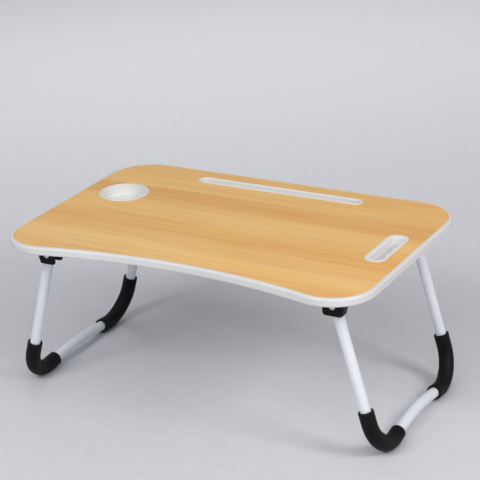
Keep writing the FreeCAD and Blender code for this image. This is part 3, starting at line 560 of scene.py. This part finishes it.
def cross_head_screw(length):
    """One pan-head screw with its seat at the origin and its head downwards, as a mesh."""
    made = bmesh.new()
    press_cross(made)
    bmesh.ops.translate(made, vec=(0, 0, SCREW_HEAD_HEIGHT), verts=made.verts)
    for radius, height in (
        (HEAD_SHOULDER_RADIUS_SHARE * SCREW_HEAD_RADIUS, HEAD_SHOULDER_HEIGHT_SHARE * SCREW_HEAD_HEIGHT),
        (SCREW_HEAD_RADIUS, HEAD_SIDE_HEIGHT_SHARE * SCREW_HEAD_HEIGHT),
        (SCREW_HEAD_RADIUS, 0.0),
        (SCREW_SHANK_RADIUS, 0.0),
        (SCREW_SHANK_RADIUS, -SHANK_STRAIGHT_SHARE * length),
        (SHANK_POINT_SHARE * SCREW_SHANK_RADIUS, -length),
    ):
        rim = [edge for edge in made.edges if edge.is_boundary]
        ring = verts_of(bmesh.ops.extrude_edge_only(made, edges=rim)["geom"])
        widening = radius / ring[0].co.xy.length
        rise = height - ring[0].co.z
        bmesh.ops.scale(made, vec=(widening, widening, 1), verts=ring)
        bmesh.ops.translate(made, vec=(0, 0, rise), verts=ring)
    bmesh.ops.contextual_create(made, geom=[edge for edge in made.edges if edge.is_boundary])
    bmesh.ops.recalc_face_normals(made, faces=made.faces)
    bmesh.ops.rotate(made, matrix=Matrix.Rotation(math.pi, 3, "X"), verts=made.verts)
    for face in made.faces:
        face.smooth = True
    for edge in made.edges:
        edge.smooth = edge.calc_face_angle() < math.radians(SCREW_SHARP_ANGLE)
    screw = bpy.data.meshes.new("cross_head_screw")
    made.to_mesh(screw)
    made.free()
    return screw


def add_bracket_screws(corner, finish):
    """The four screws of one hinge bracket, each turned home to its own angle."""
    node = f"bracket_screws_{corner}"
    low, high = (Vector(point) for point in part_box(node))
    screw = cross_head_screw(high.z - low.z - SCREW_HEAD_HEIGHT)
    group = bmesh.new()
    columns = (low.x + SCREW_HEAD_RADIUS, high.x - SCREW_HEAD_RADIUS)
    rows = (low.y + SCREW_HEAD_RADIUS, high.y - SCREW_HEAD_RADIUS)
    for number, (x, y) in enumerate((x, y) for x in columns for y in rows):
        placed = len(group.verts)
        group.from_mesh(screw)
        group.verts.ensure_lookup_table()
        verts = group.verts[placed:]
        turn = math.radians(FIRST_SCREW_TURN + NEXT_SCREW_TURN * number)
        bmesh.ops.rotate(group, matrix=Matrix.Rotation(turn, 3, "Z"), verts=verts)
        bmesh.ops.translate(group, vec=(x, y, low.z + SCREW_HEAD_HEIGHT), verts=verts)
    bpy.data.meshes.remove(screw)
    piece = new_piece(f"cross_head_screws_{corner}", group, finish)
    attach(piece, "top")
    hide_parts(node)


def add_floor():
    """A wide plain floor."""
    bpy.ops.mesh.primitive_plane_add(size=FLOOR_SIZE)
    floor = bpy.context.object
    floor.name = "floor"
    floor.data.materials.append(backdrop_paper())


def add_softbox(name, power, place, aim, size, tint=(1.0, 1.0, 1.0), spread=180.0):
    """A softbox, turned from its place to the point that it is aimed at; a grid narrows its spread."""
    data = bpy.data.lights.new(name, "AREA")
    data.shape = "RECTANGLE"
    data.size, data.size_y = size
    data.energy = power
    data.color = tint
    data.spread = math.radians(spread)
    softbox = bpy.data.objects.new(name, data)
    softbox.location = place
    softbox.rotation_euler = (Vector(aim) - Vector(place)).to_track_quat("-Z", "Y").to_euler()
    softbox.visible_camera = False
    bpy.context.scene.collection.objects.link(softbox)


def add_studio_light():
    """The room's even light and all the softboxes."""
    world = bpy.data.worlds.new("studio")
    world.use_nodes = True
    room = world.node_tree.nodes["Background"]
    room.inputs["Color"].default_value = ROOM_COLOUR
    room.inputs["Strength"].default_value = ROOM_STRENGTH
    bpy.context.scene.world = world
    for name, settings in SOFTBOXES.items():
        add_softbox(name, **settings)


def add_camera():
    """The photograph's camera, held level and then rolled a little."""
    azimuth = math.radians(VIEW_AZIMUTH)
    elevation = math.radians(VIEW_ELEVATION)
    roll = math.radians(VIEW_ROLL)
    back = Vector(
        (
            math.sin(azimuth) * math.cos(elevation),
            -math.cos(azimuth) * math.cos(elevation),
            math.sin(elevation),
        )
    )
    level = Vector((0, 0, 1)).cross(back).normalized()
    upright = back.cross(level)
    right = level * math.cos(roll) + upright * math.sin(roll)
    up = upright * math.cos(roll) - level * math.sin(roll)
    data = bpy.data.cameras.new("photo_camera")
    data.sensor_width = SENSOR_MM
    data.lens = LENS_MM
    data.clip_end = VIEW_FAR_LIMIT
    camera = bpy.data.objects.new("photo_camera", data)
    bpy.context.scene.collection.objects.link(camera)
    turn = Matrix((right, up, back)).transposed().to_4x4()
    camera.matrix_world = Matrix.Translation(VIEW_TARGET + back * VIEW_DISTANCE) @ turn
    bpy.context.scene.camera = camera


finishes = dress_cad_nodes()
for corner in CORNERS:
    add_foot_sleeve(corner, finishes["black_rubber"])
    add_bracket_screws(corner, finishes["screw_steel"])
add_floor()
add_studio_light()
add_camera()
bpy.context.scene.view_settings.view_transform = "Standard"
